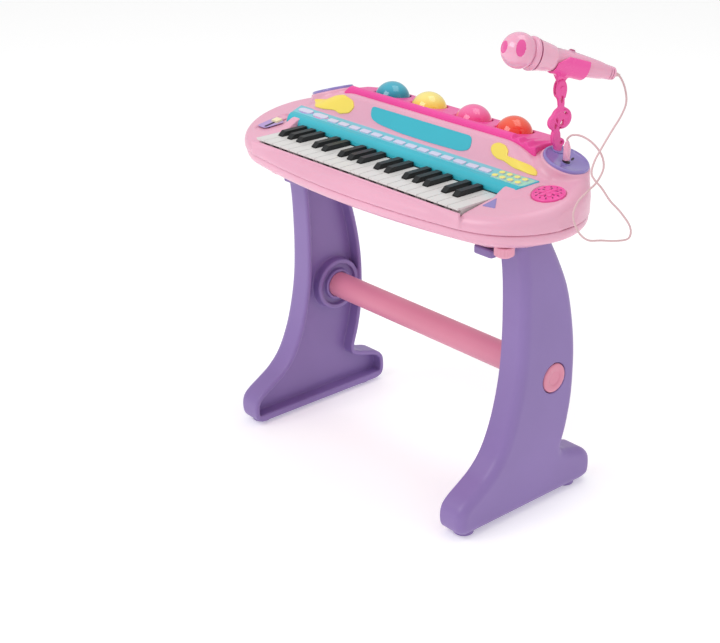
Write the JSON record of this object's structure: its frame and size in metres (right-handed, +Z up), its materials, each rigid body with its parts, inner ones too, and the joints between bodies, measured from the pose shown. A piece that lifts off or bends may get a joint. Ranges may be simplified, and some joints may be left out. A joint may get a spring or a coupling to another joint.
{
  "type": "toy electronic keyboard",
  "caption": "Toy electronic keyboard with short piano keys, dome drum pads and a corded microphone on a stem, standing on two curved legs joined by a crossbar.",
  "frame": {"origin": "centre of the footprint on the floor", "axes": "+X along the keys from the lowest note, +Z up, the player sits on the -Y side"},
  "size_m": [0.52, 0.2335, 0.5539],
  "materials": {
    "pink_shell": "satin",
    "violet_stand": "satin",
    "magenta": "gloss",
    "teal_panel": "gloss",
    "white_key": "gloss",
    "black_key": "gloss",
    "frame_grey": "matte",
    "dome_blue": "gloss",
    "dome_yellow": "gloss",
    "dome_pink": "gloss",
    "dome_red": "gloss",
    "button": "satin",
    "slider": "satin",
    "disc_purple": "gloss",
    "crossbar_pink": "satin",
    "knob_pink": "satin",
    "mic_pink": "gloss",
    "cord_pink": "satin"
  },
  "bodies": {
    "console": {"mic_stem": "magenta", "lower_casing": "pink_shell", "upper_casing": "pink_shell", "control_panel": "teal_panel", "drum_rail": "magenta", "key_frame": "frame_grey", "speaker_grille": "magenta", "end_discs": "disc_purple", "left_leg": "violet_stand", "right_leg": "violet_stand", "crossbar": "crossbar_pink", "leg_knobs": "knob_pink", "mic_plug": "mic_pink", "mic_cord": "cord_pink"},
    "battery_door": {"battery_door": "pink_shell"},
    "drum_pad_blue": {"drum_pad_blue": "dome_blue"},
    "drum_pad_yellow": {"drum_pad_yellow": "dome_yellow"},
    "drum_pad_pink": {"drum_pad_pink": "dome_pink"},
    "drum_pad_red": {"drum_pad_red": "dome_red"},
    "control_buttons": {"control_buttons": "button"},
    "volume_slider": {"volume_slider": "slider"},
    "microphone": {"mic_clip": "magenta", "microphone": "mic_pink"},
    "white_key_01": {"white_key_01": "white_key"},
    "white_key_02": {"white_key_02": "white_key"},
    "white_key_03": {"white_key_03": "white_key"},
    "white_key_04": {"white_key_04": "white_key"},
    "white_key_05": {"white_key_05": "white_key"},
    "white_key_06": {"white_key_06": "white_key"},
    "white_key_07": {"white_key_07": "white_key"},
    "white_key_08": {"white_key_08": "white_key"},
    "white_key_09": {"white_key_09": "white_key"},
    "white_key_10": {"white_key_10": "white_key"},
    "white_key_11": {"white_key_11": "white_key"},
    "white_key_12": {"white_key_12": "white_key"},
    "white_key_13": {"white_key_13": "white_key"},
    "white_key_14": {"white_key_14": "white_key"},
    "white_key_15": {"white_key_15": "white_key"},
    "white_key_16": {"white_key_16": "white_key"},
    "white_key_17": {"white_key_17": "white_key"},
    "white_key_18": {"white_key_18": "white_key"},
    "white_key_19": {"white_key_19": "white_key"},
    "white_key_20": {"white_key_20": "white_key"},
    "white_key_21": {"white_key_21": "white_key"},
    "white_key_22": {"white_key_22": "white_key"},
    "black_key_01": {"black_key_01": "black_key"},
    "black_key_02": {"black_key_02": "black_key"},
    "black_key_03": {"black_key_03": "black_key"},
    "black_key_04": {"black_key_04": "black_key"},
    "black_key_05": {"black_key_05": "black_key"},
    "black_key_06": {"black_key_06": "black_key"},
    "black_key_07": {"black_key_07": "black_key"},
    "black_key_08": {"black_key_08": "black_key"},
    "black_key_09": {"black_key_09": "black_key"},
    "black_key_10": {"black_key_10": "black_key"},
    "black_key_11": {"black_key_11": "black_key"},
    "black_key_12": {"black_key_12": "black_key"},
    "black_key_13": {"black_key_13": "black_key"},
    "black_key_14": {"black_key_14": "black_key"},
    "black_key_15": {"black_key_15": "black_key"}
  },
  "joints": [
    {"name": "battery_door_lift", "type": "slide", "parent": "console", "child": "battery_door", "axis": [0, 0, -1], "range_m": [0, 0.03]},
    {"name": "drum_blue_press", "type": "slide", "parent": "console", "child": "drum_pad_blue", "axis": [0, 0, -1], "range_m": [0, 0.003], "stiffness_N_per_m": 600, "springref_m": -0.003},
    {"name": "drum_yellow_press", "type": "slide", "parent": "console", "child": "drum_pad_yellow", "axis": [0, 0, -1], "range_m": [0, 0.003], "stiffness_N_per_m": 600, "springref_m": -0.003},
    {"name": "drum_pink_press", "type": "slide", "parent": "console", "child": "drum_pad_pink", "axis": [0, 0, -1], "range_m": [0, 0.003], "stiffness_N_per_m": 600, "springref_m": -0.003},
    {"name": "drum_red_press", "type": "slide", "parent": "console", "child": "drum_pad_red", "axis": [0, 0, -1], "range_m": [0, 0.003], "stiffness_N_per_m": 600, "springref_m": -0.003},
    {"name": "buttons_press", "type": "slide", "parent": "console", "child": "control_buttons", "axis": [0, 0.1582, -0.9874], "range_m": [0, 0.0012], "stiffness_N_per_m": 800, "springref_m": -0.002},
    {"name": "volume_slide", "type": "slide", "parent": "console", "child": "volume_slider", "axis": [0, 0.9857, 0.1685], "range_m": [-0.012, 0.005]},
    {"name": "mic_tilt", "type": "hinge", "parent": "console", "child": "microphone", "pos_m": [0.1772, 0.0487, 0.491], "axis": [-0.9397, 0.342, 0], "range_deg": [-15, 0]},
    {"name": "white_key_01_press", "type": "hinge", "parent": "console", "child": "white_key_01", "pos_m": [-0.16275, 0.01, 0.378], "axis": [1, 0, 0], "range_deg": [0, 1.6], "stiffness_Nm_per_rad": 0.5, "springref_deg": -3.44},
    {"name": "white_key_02_press", "type": "hinge", "parent": "console", "child": "white_key_02", "pos_m": [-0.14725, 0.01, 0.378], "axis": [1, 0, 0], "range_deg": [0, 1.6], "stiffness_Nm_per_rad": 0.5, "springref_deg": -3.44},
    {"name": "white_key_03_press", "type": "hinge", "parent": "console", "child": "white_key_03", "pos_m": [-0.13175, 0.01, 0.378], "axis": [1, 0, 0], "range_deg": [0, 1.6], "stiffness_Nm_per_rad": 0.5, "springref_deg": -3.44},
    {"name": "white_key_04_press", "type": "hinge", "parent": "console", "child": "white_key_04", "pos_m": [-0.11625, 0.01, 0.378], "axis": [1, 0, 0], "range_deg": [0, 1.6], "stiffness_Nm_per_rad": 0.5, "springref_deg": -3.44},
    {"name": "white_key_05_press", "type": "hinge", "parent": "console", "child": "white_key_05", "pos_m": [-0.10075, 0.01, 0.378], "axis": [1, 0, 0], "range_deg": [0, 1.6], "stiffness_Nm_per_rad": 0.5, "springref_deg": -3.44},
    {"name": "white_key_06_press", "type": "hinge", "parent": "console", "child": "white_key_06", "pos_m": [-0.08525, 0.01, 0.378], "axis": [1, 0, 0], "range_deg": [0, 1.6], "stiffness_Nm_per_rad": 0.5, "springref_deg": -3.44},
    {"name": "white_key_07_press", "type": "hinge", "parent": "console", "child": "white_key_07", "pos_m": [-0.06975, 0.01, 0.378], "axis": [1, 0, 0], "range_deg": [0, 1.6], "stiffness_Nm_per_rad": 0.5, "springref_deg": -3.44},
    {"name": "white_key_08_press", "type": "hinge", "parent": "console", "child": "white_key_08", "pos_m": [-0.05425, 0.01, 0.378], "axis": [1, 0, 0], "range_deg": [0, 1.6], "stiffness_Nm_per_rad": 0.5, "springref_deg": -3.44},
    {"name": "white_key_09_press", "type": "hinge", "parent": "console", "child": "white_key_09", "pos_m": [-0.03875, 0.01, 0.378], "axis": [1, 0, 0], "range_deg": [0, 1.6], "stiffness_Nm_per_rad": 0.5, "springref_deg": -3.44},
    {"name": "white_key_10_press", "type": "hinge", "parent": "console", "child": "white_key_10", "pos_m": [-0.02325, 0.01, 0.378], "axis": [1, 0, 0], "range_deg": [0, 1.6], "stiffness_Nm_per_rad": 0.5, "springref_deg": -3.44},
    {"name": "white_key_11_press", "type": "hinge", "parent": "console", "child": "white_key_11", "pos_m": [-0.00775, 0.01, 0.378], "axis": [1, 0, 0], "range_deg": [0, 1.6], "stiffness_Nm_per_rad": 0.5, "springref_deg": -3.44},
    {"name": "white_key_12_press", "type": "hinge", "parent": "console", "child": "white_key_12", "pos_m": [0.00775, 0.01, 0.378], "axis": [1, 0, 0], "range_deg": [0, 1.6], "stiffness_Nm_per_rad": 0.5, "springref_deg": -3.44},
    {"name": "white_key_13_press", "type": "hinge", "parent": "console", "child": "white_key_13", "pos_m": [0.02325, 0.01, 0.378], "axis": [1, 0, 0], "range_deg": [0, 1.6], "stiffness_Nm_per_rad": 0.5, "springref_deg": -3.44},
    {"name": "white_key_14_press", "type": "hinge", "parent": "console", "child": "white_key_14", "pos_m": [0.03875, 0.01, 0.378], "axis": [1, 0, 0], "range_deg": [0, 1.6], "stiffness_Nm_per_rad": 0.5, "springref_deg": -3.44},
    {"name": "white_key_15_press", "type": "hinge", "parent": "console", "child": "white_key_15", "pos_m": [0.05425, 0.01, 0.378], "axis": [1, 0, 0], "range_deg": [0, 1.6], "stiffness_Nm_per_rad": 0.5, "springref_deg": -3.44},
    {"name": "white_key_16_press", "type": "hinge", "parent": "console", "child": "white_key_16", "pos_m": [0.06975, 0.01, 0.378], "axis": [1, 0, 0], "range_deg": [0, 1.6], "stiffness_Nm_per_rad": 0.5, "springref_deg": -3.44},
    {"name": "white_key_17_press", "type": "hinge", "parent": "console", "child": "white_key_17", "pos_m": [0.08525, 0.01, 0.378], "axis": [1, 0, 0], "range_deg": [0, 1.6], "stiffness_Nm_per_rad": 0.5, "springref_deg": -3.44},
    {"name": "white_key_18_press", "type": "hinge", "parent": "console", "child": "white_key_18", "pos_m": [0.10075, 0.01, 0.378], "axis": [1, 0, 0], "range_deg": [0, 1.6], "stiffness_Nm_per_rad": 0.5, "springref_deg": -3.44},
    {"name": "white_key_19_press", "type": "hinge", "parent": "console", "child": "white_key_19", "pos_m": [0.11625, 0.01, 0.378], "axis": [1, 0, 0], "range_deg": [0, 1.6], "stiffness_Nm_per_rad": 0.5, "springref_deg": -3.44},
    {"name": "white_key_20_press", "type": "hinge", "parent": "console", "child": "white_key_20", "pos_m": [0.13175, 0.01, 0.378], "axis": [1, 0, 0], "range_deg": [0, 1.6], "stiffness_Nm_per_rad": 0.5, "springref_deg": -3.44},
    {"name": "white_key_21_press", "type": "hinge", "parent": "console", "child": "white_key_21", "pos_m": [0.14725, 0.01, 0.378], "axis": [1, 0, 0], "range_deg": [0, 1.6], "stiffness_Nm_per_rad": 0.5, "springref_deg": -3.44},
    {"name": "white_key_22_press", "type": "hinge", "parent": "console", "child": "white_key_22", "pos_m": [0.16275, 0.01, 0.378], "axis": [1, 0, 0], "range_deg": [0, 1.6], "stiffness_Nm_per_rad": 0.5, "springref_deg": -3.44},
    {"name": "black_key_01_press", "type": "hinge", "parent": "console", "child": "black_key_01", "pos_m": [-0.1562, 0.01, 0.378], "axis": [1, 0, 0], "range_deg": [0, 1.6], "stiffness_Nm_per_rad": 0.5, "springref_deg": -3.44},
    {"name": "black_key_02_press", "type": "hinge", "parent": "console", "child": "black_key_02", "pos_m": [-0.1395, 0.01, 0.378], "axis": [1, 0, 0], "range_deg": [0, 1.6], "stiffness_Nm_per_rad": 0.5, "springref_deg": -3.44},
    {"name": "black_key_03_press", "type": "hinge", "parent": "console", "child": "black_key_03", "pos_m": [-0.1228, 0.01, 0.378], "axis": [1, 0, 0], "range_deg": [0, 1.6], "stiffness_Nm_per_rad": 0.5, "springref_deg": -3.44},
    {"name": "black_key_04_press", "type": "hinge", "parent": "console", "child": "black_key_04", "pos_m": [-0.094, 0.01, 0.378], "axis": [1, 0, 0], "range_deg": [0, 1.6], "stiffness_Nm_per_rad": 0.5, "springref_deg": -3.44},
    {"name": "black_key_05_press", "type": "hinge", "parent": "console", "child": "black_key_05", "pos_m": [-0.0765, 0.01, 0.378], "axis": [1, 0, 0], "range_deg": [0, 1.6], "stiffness_Nm_per_rad": 0.5, "springref_deg": -3.44},
    {"name": "black_key_06_press", "type": "hinge", "parent": "console", "child": "black_key_06", "pos_m": [-0.0477, 0.01, 0.378], "axis": [1, 0, 0], "range_deg": [0, 1.6], "stiffness_Nm_per_rad": 0.5, "springref_deg": -3.44},
    {"name": "black_key_07_press", "type": "hinge", "parent": "console", "child": "black_key_07", "pos_m": [-0.031, 0.01, 0.378], "axis": [1, 0, 0], "range_deg": [0, 1.6], "stiffness_Nm_per_rad": 0.5, "springref_deg": -3.44},
    {"name": "black_key_08_press", "type": "hinge", "parent": "console", "child": "black_key_08", "pos_m": [-0.0143, 0.01, 0.378], "axis": [1, 0, 0], "range_deg": [0, 1.6], "stiffness_Nm_per_rad": 0.5, "springref_deg": -3.44},
    {"name": "black_key_09_press", "type": "hinge", "parent": "console", "child": "black_key_09", "pos_m": [0.0145, 0.01, 0.378], "axis": [1, 0, 0], "range_deg": [0, 1.6], "stiffness_Nm_per_rad": 0.5, "springref_deg": -3.44},
    {"name": "black_key_10_press", "type": "hinge", "parent": "console", "child": "black_key_10", "pos_m": [0.032, 0.01, 0.378], "axis": [1, 0, 0], "range_deg": [0, 1.6], "stiffness_Nm_per_rad": 0.5, "springref_deg": -3.44},
    {"name": "black_key_11_press", "type": "hinge", "parent": "console", "child": "black_key_11", "pos_m": [0.0608, 0.01, 0.378], "axis": [1, 0, 0], "range_deg": [0, 1.6], "stiffness_Nm_per_rad": 0.5, "springref_deg": -3.44},
    {"name": "black_key_12_press", "type": "hinge", "parent": "console", "child": "black_key_12", "pos_m": [0.0775, 0.01, 0.378], "axis": [1, 0, 0], "range_deg": [0, 1.6], "stiffness_Nm_per_rad": 0.5, "springref_deg": -3.44},
    {"name": "black_key_13_press", "type": "hinge", "parent": "console", "child": "black_key_13", "pos_m": [0.0942, 0.01, 0.378], "axis": [1, 0, 0], "range_deg": [0, 1.6], "stiffness_Nm_per_rad": 0.5, "springref_deg": -3.44},
    {"name": "black_key_14_press", "type": "hinge", "parent": "console", "child": "black_key_14", "pos_m": [0.123, 0.01, 0.378], "axis": [1, 0, 0], "range_deg": [0, 1.6], "stiffness_Nm_per_rad": 0.5, "springref_deg": -3.44},
    {"name": "black_key_15_press", "type": "hinge", "parent": "console", "child": "black_key_15", "pos_m": [0.1405, 0.01, 0.378], "axis": [1, 0, 0], "range_deg": [0, 1.6], "stiffness_Nm_per_rad": 0.5, "springref_deg": -3.44}
  ]
}
